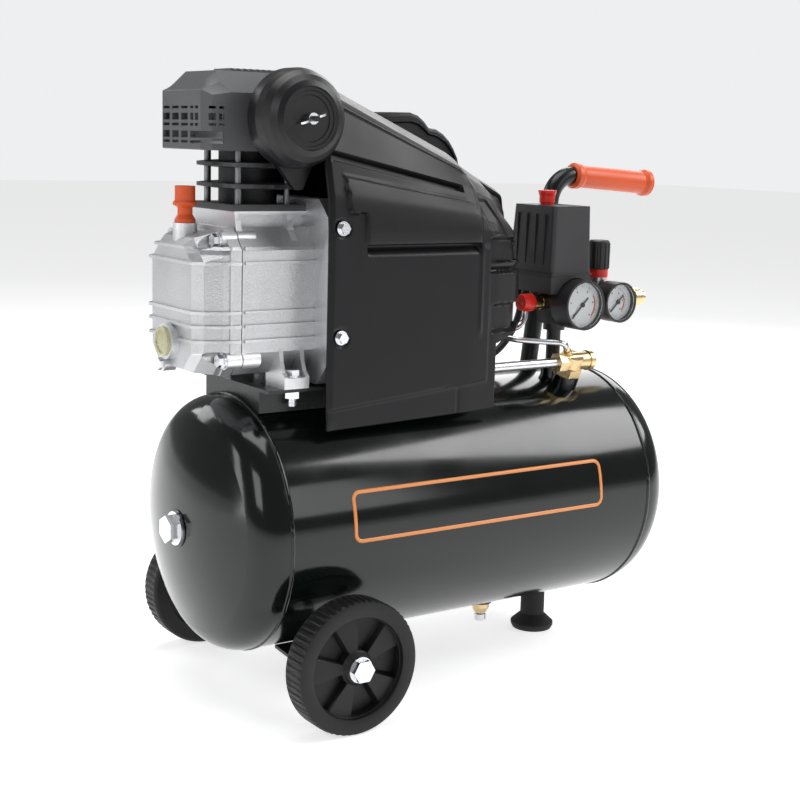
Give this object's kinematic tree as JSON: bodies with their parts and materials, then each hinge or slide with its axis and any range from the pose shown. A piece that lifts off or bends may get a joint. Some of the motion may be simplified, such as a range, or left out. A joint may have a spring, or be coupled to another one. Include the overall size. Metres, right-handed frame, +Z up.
{
  "type": "air compressor",
  "caption": "Direct-drive piston air compressor on a horizontal tank, with wheels, a carrying handle, pressure switch, gauges and a quick coupler.",
  "frame": {"origin": "on the ground, below the middle of the machine's length and width", "axes": "+Z up; X along the tank, the pump at -X and the handle at +X; the gauges face -Y"},
  "size_m": [0.619, 0.337, 0.593],
  "materials": {
    "tank_black": "high-gloss black-green powder coat",
    "bracket_black": "satin black paint",
    "cast_aluminium": "sand-cast, shot-blasted",
    "cylinder_black": "painted cast iron",
    "machined_aluminium": "machined",
    "hood_grey": "dark grey moulded plastic",
    "shroud_black": "matt moulded plastic",
    "filter_black": "fine-textured moulded plastic",
    "wheel_black": "moulded plastic",
    "rubber": "moulded rubber",
    "zinc": "zinc plated",
    "steel": "ground",
    "iron": "machined iron",
    "copper": "enamelled copper wire",
    "brass": "turned brass",
    "orange": "orange-red moulded plastic",
    "red": "red moulded plastic",
    "switch_black": "fine-textured moulded plastic",
    "pipe": "drawn tube",
    "cable": "sheathed cable",
    "dial_white": "white dial",
    "needle_black": "black",
    "gauge_black": "black lacquer",
    "glass": "clear",
    "sight": "clear, oil behind",
    "chrome": "nickel plated",
    "gasket": "paper gasket",
    "element": "pleated felt"
  },
  "bodies": {
    "base": {"tank_shell": "tank_black", "end_plug": "zinc", "saddle_bracket": "bracket_black", "wheel_brackets": "bracket_black", "rubber_foot": "rubber", "axle_bolts": "zinc", "drain_valve_body": "brass", "crankcase": "cast_aluminium", "crankcase_gasket": "gasket", "crankcase_cover": "cast_aluminium", "flange_screws": "zinc", "sight_glass": "sight", "cylinder_barrel_fins": "cylinder_black", "valve_plate": "machined_aluminium", "cylinder_head": "machined_aluminium", "cylinder_studs": "zinc", "foot_bolts": "zinc", "shaft_bearings": "steel", "motor_stator": "iron", "stator_windings": "copper", "motor_end_shield": "cast_aluminium", "run_capacitor": "hood_grey", "motor_shroud": "shroud_black", "head_cover": "hood_grey", "filter_base": "filter_black", "filter_element": "element", "filter_cap": "filter_black", "wing_nut": "zinc", "check_valve": "brass", "discharge_pipe": "pipe", "unloader_pipe": "pipe", "manifold": "gauge_black", "pressure_switch": "switch_black", "switch_cover": "switch_black", "motor_cable": "cable", "safety_valve_body": "brass", "regulator_body": "chrome", "regulator_ring": "red", "gauge_cases": "gauge_black", "gauge_dials": "dial_white", "gauge_windows": "glass", "coupler_body": "brass", "handle_tube": "bracket_black", "handle_grip": "orange"},
    "shaft": {"crankshaft": "steel", "rotor": "iron", "cooling_fan": "hood_grey"},
    "piston": {"piston": "machined_aluminium", "wrist_pin": "steel"},
    "rod": {"connecting_rod": "machined_aluminium"},
    "near_wheel": {"wheel_near": "wheel_black"},
    "far_wheel": {"wheel_far": "wheel_black"},
    "drain_screw": {"drain_screw": "zinc"},
    "oil_plug": {"oil_plug": "orange"},
    "switch_knob": {"on_off_knob": "red"},
    "relief_cap": {"safety_valve_cap": "red"},
    "regulator_knob": {"regulator_knob": "switch_black"},
    "large_needle": {"large_gauge_needle": "needle_black"},
    "small_needle": {"small_gauge_needle": "needle_black"},
    "coupler_sleeve": {"coupler_sleeve": "brass"}
  },
  "joints": [
    {"name": "shaft_spin", "type": "hinge", "parent": "base", "child": "shaft", "pos_m": [-0.083, 0, 0.39], "axis": [1, 0, 0], "continuous": true},
    {"name": "piston_slide", "type": "slide", "parent": "base", "child": "piston", "axis": [0, 0, 1], "range_m": [-0.036, 0]},
    {"name": "rod_swing", "type": "hinge", "parent": "piston", "child": "rod", "pos_m": [-0.221, 0, 0.49], "axis": [1, 0, 0], "range_deg": [-12.5, 12.5]},
    {"name": "near_wheel_spin", "type": "hinge", "parent": "base", "child": "near_wheel", "pos_m": [-0.19, -0.146, 0.063], "axis": [0, 1, 0], "continuous": true},
    {"name": "far_wheel_spin", "type": "hinge", "parent": "base", "child": "far_wheel", "pos_m": [-0.19, 0.146, 0.063], "axis": [0, 1, 0], "continuous": true},
    {"name": "drain_turn", "type": "hinge", "parent": "base", "child": "drain_screw", "pos_m": [0.071, 0, 0.024], "axis": [0, 0, 1], "range_deg": [0, 720]},
    {"name": "oil_plug_lift", "type": "slide", "parent": "base", "child": "oil_plug", "axis": [0, 0, 1], "range_m": [0, 0.03]},
    {"name": "switch_pull", "type": "slide", "parent": "base", "child": "switch_knob", "axis": [0, 0, 1], "range_m": [0, 0.007]},
    {"name": "relief_pull", "type": "slide", "parent": "base", "child": "relief_cap", "axis": [-1, 0, 0], "range_m": [0, 0.004], "stiffness_N_per_m": 1500, "springref_m": -0.002},
    {"name": "regulator_turn", "type": "hinge", "parent": "base", "child": "regulator_knob", "pos_m": [0.194, -0.027, 0.415], "axis": [0, 0, 1], "range_deg": [0, 1080]},
    {"name": "large_gauge_reading", "type": "hinge", "parent": "base", "child": "large_needle", "pos_m": [0.137, -0.057, 0.369], "axis": [0, 1, 0], "range_deg": [0, 270]},
    {"name": "small_gauge_reading", "type": "hinge", "parent": "base", "child": "small_needle", "pos_m": [0.194, -0.054, 0.369], "axis": [0, 1, 0], "range_deg": [0, 270]},
    {"name": "coupler_release", "type": "slide", "parent": "base", "child": "coupler_sleeve", "axis": [-1, 0, 0], "range_m": [0, 0.004], "stiffness_N_per_m": 2500, "springref_m": -0.002}
  ]
}
